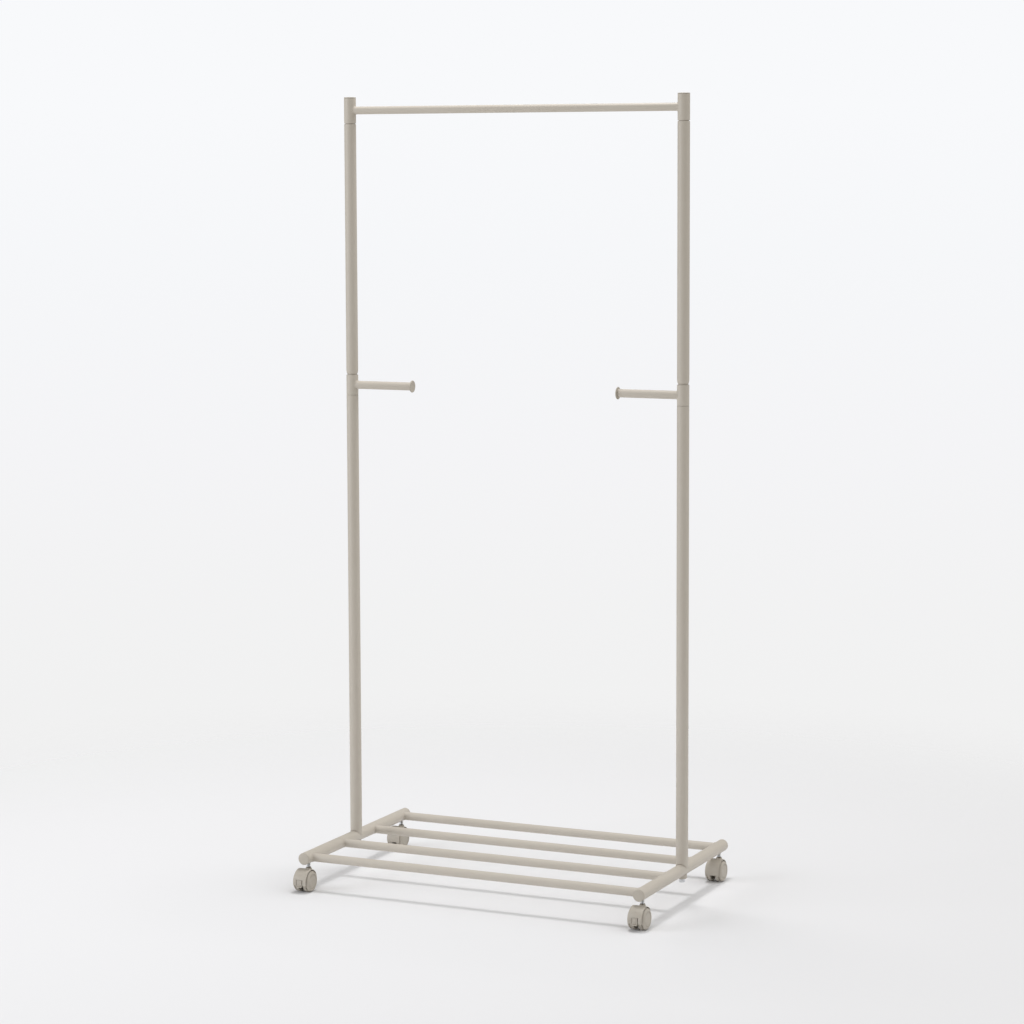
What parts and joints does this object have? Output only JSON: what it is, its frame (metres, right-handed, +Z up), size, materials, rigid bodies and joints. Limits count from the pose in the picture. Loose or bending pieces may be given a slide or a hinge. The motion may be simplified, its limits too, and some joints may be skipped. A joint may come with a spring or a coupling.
{
  "type": "rolling clothes rack",
  "caption": "Rolling clothes rack with two tubular posts, a hanging rail, hook arms, a slatted tube shelf and twin-wheel casters with brakes at the front.",
  "frame": {"origin": "on the floor, under the middle of the rack's bounding box", "axes": "+X from the left post to the right post, +Y from the front to the rear, +Z up along the posts; the front is the side with the brake pedals"},
  "size_m": [0.804, 0.503, 1.6765],
  "materials": {
    "powder_coat": "fine matt powder coat on steel tube, warm grey-beige",
    "cap_plastic": "moulded plastic, colour matched to the tubes",
    "caster_plastic": "moulded nylon, satin",
    "zinc": "zinc-plated steel",
    "dark_steel": "dark bronze-coloured steel"
  },
  "bodies": {
    "frame": {"left_side_rail": "powder_coat", "right_side_rail": "powder_coat", "shelf_bar_1": "powder_coat", "shelf_bar_2": "powder_coat", "shelf_bar_3": "powder_coat", "shelf_bar_4": "powder_coat", "left_lower_post": "powder_coat", "right_lower_post": "powder_coat", "left_upper_post": "powder_coat", "right_upper_post": "powder_coat", "left_hook_sleeve": "powder_coat", "right_hook_sleeve": "powder_coat", "left_hook_arm": "powder_coat", "right_hook_arm": "powder_coat", "left_top_sleeve": "powder_coat", "right_top_sleeve": "powder_coat", "top_rail": "powder_coat", "rail_cap_front_left": "cap_plastic", "rail_cap_front_right": "cap_plastic", "rail_cap_rear_left": "cap_plastic", "rail_cap_rear_right": "cap_plastic", "left_post_cap": "cap_plastic", "right_post_cap": "cap_plastic", "left_hook_end": "cap_plastic", "right_hook_end": "cap_plastic", "left_foot_spacer": "cap_plastic", "right_foot_spacer": "cap_plastic", "left_post_bolt": "zinc", "right_post_bolt": "zinc", "left_bolt_washer": "zinc", "right_bolt_washer": "zinc", "left_foot_nut": "zinc", "right_foot_nut": "zinc", "stem_front_left": "zinc", "stem_front_right": "zinc", "stem_rear_left": "zinc", "stem_rear_right": "zinc", "stem_collar_front_left": "dark_steel", "stem_collar_front_right": "dark_steel", "stem_collar_rear_left": "dark_steel", "stem_collar_rear_right": "dark_steel"},
    "caster_front_left": {"hood_front_left": "caster_plastic", "axle_front_left": "zinc"},
    "left_wheel_front_left": {"left_wheel_front_left": "caster_plastic"},
    "right_wheel_front_left": {"right_wheel_front_left": "caster_plastic"},
    "brake_pedal_front_left": {"brake_pedal_front_left": "caster_plastic"},
    "caster_front_right": {"hood_front_right": "caster_plastic", "axle_front_right": "zinc"},
    "left_wheel_front_right": {"left_wheel_front_right": "caster_plastic"},
    "right_wheel_front_right": {"right_wheel_front_right": "caster_plastic"},
    "brake_pedal_front_right": {"brake_pedal_front_right": "caster_plastic"},
    "caster_rear_left": {"hood_rear_left": "caster_plastic", "axle_rear_left": "zinc"},
    "left_wheel_rear_left": {"left_wheel_rear_left": "caster_plastic"},
    "right_wheel_rear_left": {"right_wheel_rear_left": "caster_plastic"},
    "caster_rear_right": {"hood_rear_right": "caster_plastic", "axle_rear_right": "zinc"},
    "left_wheel_rear_right": {"left_wheel_rear_right": "caster_plastic"},
    "right_wheel_rear_right": {"right_wheel_rear_right": "caster_plastic"}
  },
  "joints": [
    {"name": "swivel_front_left", "type": "hinge", "parent": "frame", "child": "caster_front_left", "pos_m": [-0.3825, -0.2072, 0.05], "axis": [0, 0, 1], "continuous": true},
    {"name": "swivel_front_right", "type": "hinge", "parent": "frame", "child": "caster_front_right", "pos_m": [0.3825, -0.2072, 0.05], "axis": [0, 0, 1], "continuous": true},
    {"name": "swivel_rear_left", "type": "hinge", "parent": "frame", "child": "caster_rear_left", "pos_m": [-0.3825, 0.2288, 0.05], "axis": [0, 0, 1], "continuous": true},
    {"name": "swivel_rear_right", "type": "hinge", "parent": "frame", "child": "caster_rear_right", "pos_m": [0.3825, 0.2288, 0.05], "axis": [0, 0, 1], "continuous": true},
    {"name": "roll_left_front_left", "type": "hinge", "parent": "caster_front_left", "child": "left_wheel_front_left", "pos_m": [-0.3933, -0.2237, 0.0225], "axis": [1, 0, 0], "continuous": true},
    {"name": "roll_right_front_left", "type": "hinge", "parent": "caster_front_left", "child": "right_wheel_front_left", "pos_m": [-0.3717, -0.2237, 0.0225], "axis": [1, 0, 0], "continuous": true},
    {"name": "brake_front_left", "type": "hinge", "parent": "caster_front_left", "child": "brake_pedal_front_left", "pos_m": [-0.3825, -0.2237, 0.0225], "axis": [1, 0, 0], "range_deg": [0, 14]},
    {"name": "roll_left_front_right", "type": "hinge", "parent": "caster_front_right", "child": "left_wheel_front_right", "pos_m": [0.3717, -0.2237, 0.0225], "axis": [1, 0, 0], "continuous": true},
    {"name": "roll_right_front_right", "type": "hinge", "parent": "caster_front_right", "child": "right_wheel_front_right", "pos_m": [0.3933, -0.2237, 0.0225], "axis": [1, 0, 0], "continuous": true},
    {"name": "brake_front_right", "type": "hinge", "parent": "caster_front_right", "child": "brake_pedal_front_right", "pos_m": [0.3825, -0.2237, 0.0225], "axis": [1, 0, 0], "range_deg": [0, 14]},
    {"name": "roll_left_rear_left", "type": "hinge", "parent": "caster_rear_left", "child": "left_wheel_rear_left", "pos_m": [-0.3933, 0.2123, 0.0225], "axis": [1, 0, 0], "continuous": true},
    {"name": "roll_right_rear_left", "type": "hinge", "parent": "caster_rear_left", "child": "right_wheel_rear_left", "pos_m": [-0.3717, 0.2123, 0.0225], "axis": [1, 0, 0], "continuous": true},
    {"name": "roll_left_rear_right", "type": "hinge", "parent": "caster_rear_right", "child": "left_wheel_rear_right", "pos_m": [0.3717, 0.2123, 0.0225], "axis": [1, 0, 0], "continuous": true},
    {"name": "roll_right_rear_right", "type": "hinge", "parent": "caster_rear_right", "child": "right_wheel_rear_right", "pos_m": [0.3933, 0.2123, 0.0225], "axis": [1, 0, 0], "continuous": true}
  ]
}
